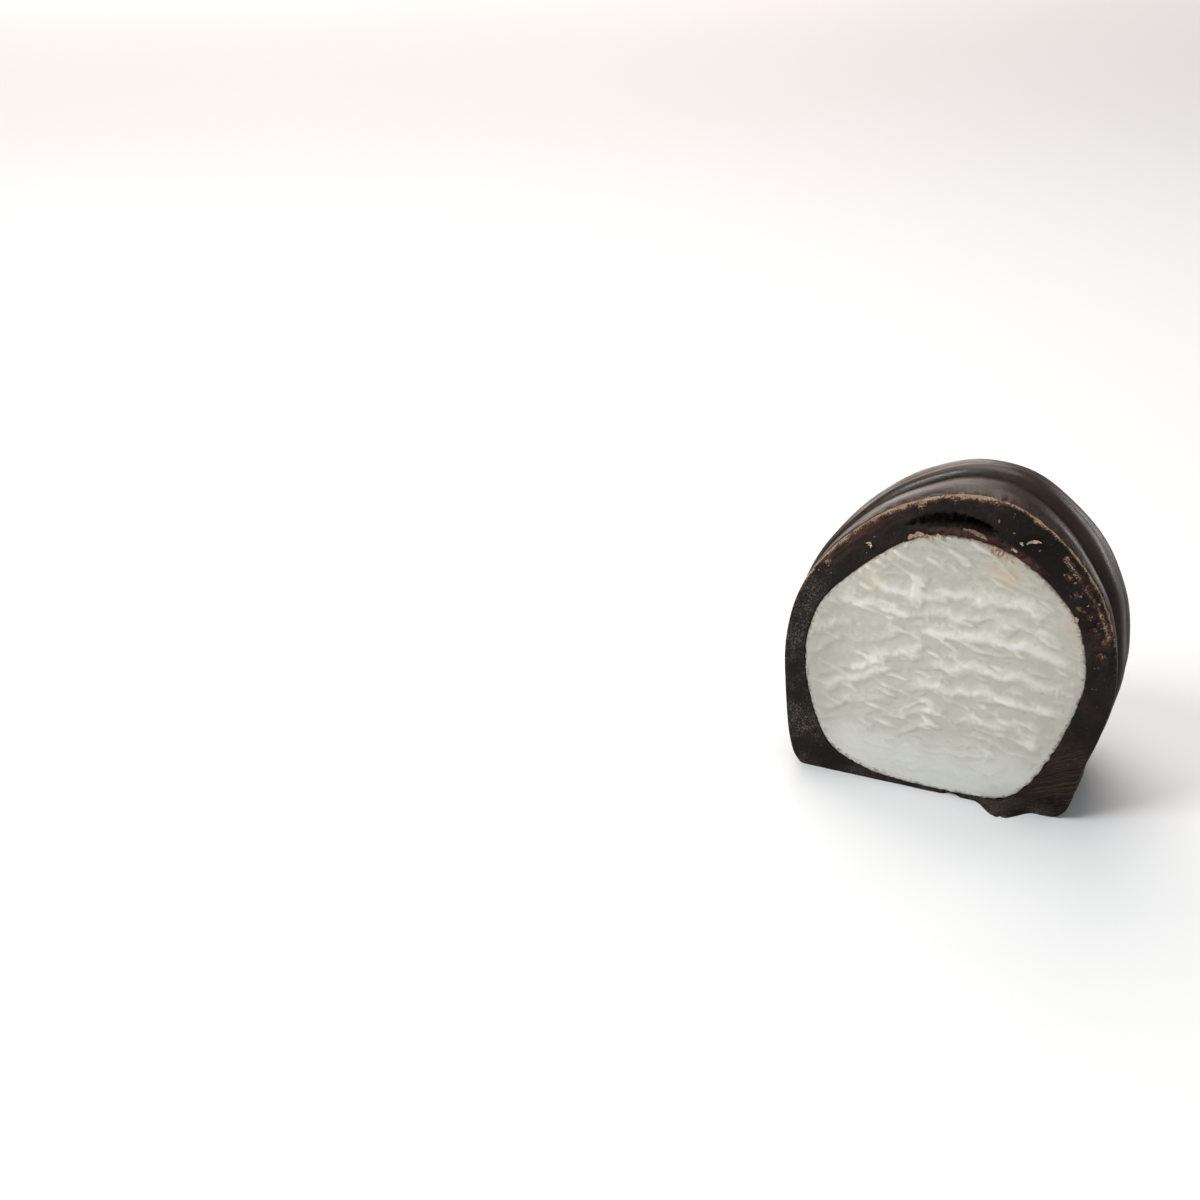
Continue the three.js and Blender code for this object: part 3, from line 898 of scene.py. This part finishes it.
mallowPiece = wrapSheet("marshmallow", mallow["columns"], mallowRows(), mallowShape, mallow["masks"],
                        (mallowMaterial,), lambda row: 0)
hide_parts("marshmallow_filling")
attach(mallowPiece, "root")
print("marshmallow made,", len(mallowPiece.data.polygons), "faces")


# Crumbs and shavings that the knife left on the cut

depsgraph = bpy.context.evaluated_depsgraph_get()
cutTrees = [BVHTree.FromObject(piece, depsgraph) for piece in (coatingPiece, mallowPiece)]


# The point of the cut in front of which nothing else lies, at a place seen from the front
def onCut(x, z):
    start = Vector((x, -6, z)) * mm + cutPlace
    hits = [tree.ray_cast(start, Vector((0, 1, 0)))[0] for tree in cutTrees]
    nearest = min((hit for hit in hits if hit), key=lambda hit: hit.y)
    return (nearest - cutPlace) / mm


# A thin curled shaving: a strip that is bent round, made uneven and given its thickness
def addShaving(bm, x, z, length, width, tilt, bend, lift):
    strip = bmesh.new()
    bmesh.ops.create_grid(strip, x_segments=14, y_segments=4, size=0.5)
    for vert in strip.verts:
        along, across = vert.co.x, vert.co.y
        taper = 1 - 0.7 * (2 * abs(along)) ** 2
        ragged = 0.3 * noise.noise(Vector((along * 5 + x, across * 4, z)))
        turned = along * bend
        radius = length / max(0.1, abs(bend))
        outward = -radius * (1 - math.cos(turned)) * math.copysign(1, bend)
        vert.co = Vector((radius * math.sin(turned), outward, (across * taper + ragged) * width))
        vert.co.y += 0.12 * noise.noise(Vector((along * 6, across * 3, x)))
    bmesh.ops.solidify(strip, geom=strip.faces[:], thickness=shavings["thickness"])
    tilted = Matrix.Rotation(math.radians(tilt), 3, "Y")
    turn = tilted @ Matrix.Rotation(math.radians(shavings["leanBack"]), 3, "X")
    bmesh.ops.rotate(strip, cent=(0, 0, 0), matrix=turn, verts=strip.verts)
    bmesh.ops.translate(strip, vec=onCut(x, z) + Vector((0, -lift, 0)), verts=strip.verts)
    mergeInto(bm, strip)


# A small broken chip with flat sides, pressed a little into the surface it lies on
def addCrumb(bm, x, z, size, seed):
    lump = bmesh.new()
    bmesh.ops.create_icosphere(lump, subdivisions=2, radius=0.5)
    stretch = Vector((1.0, 0.55 + 0.25 * math.sin(seed * 7), 0.6 + 0.3 * math.sin(seed * 11)))
    for vert in lump.verts:
        away = noise.noise(vert.co * 3.0 + Vector((seed, 0, 0)))
        vert.co = vert.co * stretch * size * (1 + 0.6 * away)
    turn = Matrix.Rotation(seed * 2.3, 3, "Y") @ Matrix.Rotation(0.5 * math.sin(seed * 5), 3, "X")
    bmesh.ops.rotate(lump, cent=(0, 0, 0), matrix=turn, verts=lump.verts)
    bmesh.ops.translate(lump, vec=onCut(x, z) + Vector((0, -0.1 * size, 0)), verts=lump.verts)
    mergeInto(bm, lump)


def mergeInto(bm, part):
    mesh = toMesh("part", part)
    bm.from_mesh(mesh)
    bpy.data.meshes.remove(mesh)


shavings = {
    # place across and up, length, width, tilt in degrees, bend in radians, lift off the cut
    "curls": [
        (-4.2, 33.5, 1.5, 0.55, -20, 1.6, 0.35), (-3.0, 33.3, 1.3, 0.5, 25, 2.2, 0.4),
        (-5.2, 33.0, 0.9, 0.4, -60, 1.4, 0.25), (-1.7, 33.7, 0.8, 0.35, 40, 1.2, 0.25),
        (8.9, 34.7, 1.8, 0.3, -16, 1.3, 0.25), (7.6, 34.2, 0.6, 0.3, 50, 1.8, 0.2),
        (-9.9, 31.3, 1.1, 0.4, 35, 2.6, 0.35), (4.6, 33.1, 1.0, 0.45, -30, 1.9, 0.3),
        (6.9, 33.4, 0.8, 0.35, 20, 1.2, 0.25), (14.6, 26.1, 0.7, 0.3, 75, 1.1, 0.15),
    ],
    # lumps of the same, next to the marshmallow: place across and up, size
    "lumps": [(4.4, 32.7, 0.7), (5.2, 32.5, 0.9), (6.0, 32.1, 0.6), (6.8, 31.7, 0.45), (3.7, 33.1, 0.4)],
    "thickness": 0.11,
    "leanBack": 25,         # in degrees
    "colour": paint(204, 178, 152),
    "dark": paint(146, 116, 96),
}

crumbs = {
    # place across and up, size
    "spots": [
        (14.7, 28.9, 0.34), (15.6, 27.9, 0.34), (4.8, 36.4, 0.42),
        (16.8, 28.3, 0.3), (13.9, 30.4, 0.36), (15.2, 30.2, 0.3), (12.6, 31.2, 0.28),
        (-11.9, 32.0, 0.26), (9.6, 33.6, 0.28), (17.3, 25.4, 0.26), (1.6, 0.35, 0.3), (6.6, 35.2, 0.26),
    ],
    # and some by chance along the rim, above a height, up to a share of the way in
    "strewn": 18,
    "strewnAbove": 8,
    "strewnInward": (0.02, 0.16),
    "strewnSize": (0.12, 0.24),
    # pale flake that hangs in the torn gap: place, length, width, tilt, bend, lift
    "flake": (2.4, 34.8, 3.0, 0.62, 17, 0.6, 1.9),
    "colour": paint(150, 128, 104),
    "dark": paint(92, 72, 58),
}


def makeCrumbMaterial(name, finish):
    material, tree, shader = newMaterial(name)
    point = objectPoint(tree)
    grain = useGrain(tree, point, 0.3, 0.2)[0]
    shade = mapRange(tree, grain, 0.36, 0.6)
    feed(tree, shader, {
        "Base Color": mixColours(tree, shade, finish["dark"], finish["colour"]),
        "Roughness": 0.6,
        "Specular IOR Level": 0.3,
        "Normal": addBump(tree, grain, 0.06 * mm),
    })
    return material


shavingMesh = bmesh.new()
for curl in shavings["curls"]:
    addShaving(shavingMesh, *curl)
for place, lump in enumerate(shavings["lumps"]):
    addCrumb(shavingMesh, *lump, place + 30)
bmesh.ops.recalc_face_normals(shavingMesh, faces=shavingMesh.faces)
shavingPiece = finishPiece("shavings", shavingMesh, (makeCrumbMaterial("shaving", shavings),))

crumbMesh = bmesh.new()
addShaving(crumbMesh, *crumbs["flake"])
chance = random.Random(7)
for place, spot in enumerate(crumbs["spots"]):
    addCrumb(crumbMesh, *spot, place)
for _ in range(crumbs["strewn"]):
    rim = coatingRim[chance.randrange(len(coatingRim))]
    inward = 1 - chance.uniform(*crumbs["strewnInward"])
    if rim.z > crumbs["strewnAbove"]:
        up = sweet["middle"].z + (rim.z - sweet["middle"].z) * inward
        size = chance.uniform(*crumbs["strewnSize"])
        addCrumb(crumbMesh, rim.x * inward, up, size, chance.uniform(0, 50))
bmesh.ops.recalc_face_normals(crumbMesh, faces=crumbMesh.faces)
crumbPiece = finishPiece("crumbs", crumbMesh, (makeCrumbMaterial("crumb", crumbs),))
for piece in (shavingPiece, crumbPiece):
    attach(piece, "root")
print("crumbs and shavings made")


# Floor, light and camera

studio = {
    "floorSize": 3.0,
    "floor": paint(216, 220, 223),      # faintly cool, against the warm lamps behind
    "paintedReflection": paint(132, 130, 128),   # painted reflection: a darker floor that only the chocolate's gloss shows
    "floorRoughness": 0.7,
    "sky": (1.0, 1.0, 1.0, 1.0),
    "skyStrength": 0.32,
    # name, place in metres, size in metres, power in watts, colour
    "lamps": [
        ("keyLamp", (-0.3, -0.32, 0.4), 0.26, 2.15, (1.0, 1.0, 1.0)),
        ("topLamp", (-0.1, 0.05, 0.62), 0.5, 2.2, (1.0, 0.93, 0.87)),
        ("backLamp", (-1.25, 1.55, 1.12), 2.5, 46.0, (1.0, 0.86, 0.79)),
        ("sideLamp", (1.65, 2.4, 0.6), 1.2, 15.0, (1.0, 0.95, 0.92)),
    ],
    "lampAim": (0.0, 0.0, 0.02),
}

photoView = {
    "azimuth": 24.86,
    "elevation": 24.0,
    "distance": 200.0,              # from the lens to the aimed point, along the view, in mm
    "lens": 50.7,
    "pixelsPerMm": 8.45,            # at that distance, in a picture 1200 pixels wide
    "aim": Vector((0.67, 0.0, 18.1)),
    "aimPixel": (950, 660),
    "middlePixel": 600,
}


def addFloor():
    bm = bmesh.new()
    bmesh.ops.create_grid(bm, x_segments=1, y_segments=1, size=studio["floorSize"])
    mesh = toMesh("floor", bm)
    floor = addObject("floor", mesh)
    material, tree, shader = newMaterial("paleFloor")
    # painted reflection: glossy rays see a darker floor than the camera does
    inGloss = addNode(tree, "ShaderNodeLightPath").outputs["Is Glossy Ray"]
    colour = mixColours(tree, inGloss, studio["floor"], studio["paintedReflection"])
    feed(tree, shader, {"Base Color": colour, "Roughness": studio["floorRoughness"]})
    mesh.materials.append(material)


def addLamp(name, place, size, power, colour):
    lamp = bpy.data.lights.new(name, "AREA")
    lamp.shape = "DISK"
    lamp.size = size
    lamp.energy = power
    lamp.color = colour
    holder = addObject(name, lamp)
    holder.location = place
    toAim = Vector(studio["lampAim"]) - Vector(place)
    holder.rotation_euler = toAim.to_track_quat("-Z", "Y").to_euler()


def addSky():
    world = bpy.data.worlds.new("sky")
    world.use_nodes = True
    background = world.node_tree.nodes["Background"]
    background.inputs["Color"].default_value = studio["sky"]
    background.inputs["Strength"].default_value = studio["skyStrength"]
    bpy.context.scene.world = world


# The lens stands so that the aimed point falls on its own pixel, with no shift
def addCamera():
    azimuth = math.radians(photoView["azimuth"])
    elevation = math.radians(photoView["elevation"])
    back = Vector((math.sin(azimuth) * math.cos(elevation), -math.cos(azimuth) * math.cos(elevation),
                   math.sin(elevation)))
    forward = -back
    right = forward.cross(Vector((0, 0, 1))).normalized()
    up = right.cross(forward)
    aside, down = (pixel - photoView["middlePixel"] for pixel in photoView["aimPixel"])
    toAim = forward * photoView["distance"]
    toAim += (right * aside - up * down) / photoView["pixelsPerMm"]
    data = bpy.data.cameras.new("camera")
    data.sensor_width = 36
    data.lens = photoView["lens"]
    data.clip_start = 0.01
    camera = addObject("camera", data)
    lens = (photoView["aim"] - toAim) * mm + cutPlace
    camera.matrix_world = Matrix.Translation(lens) @ Matrix((right, up, back)).transposed().to_4x4()
    bpy.context.scene.camera = camera


addFloor()
addSky()
for lampValues in studio["lamps"]:
    addLamp(*lampValues)
addCamera()
bpy.context.scene.view_settings.view_transform = "Standard"
print("floor, light and camera made")
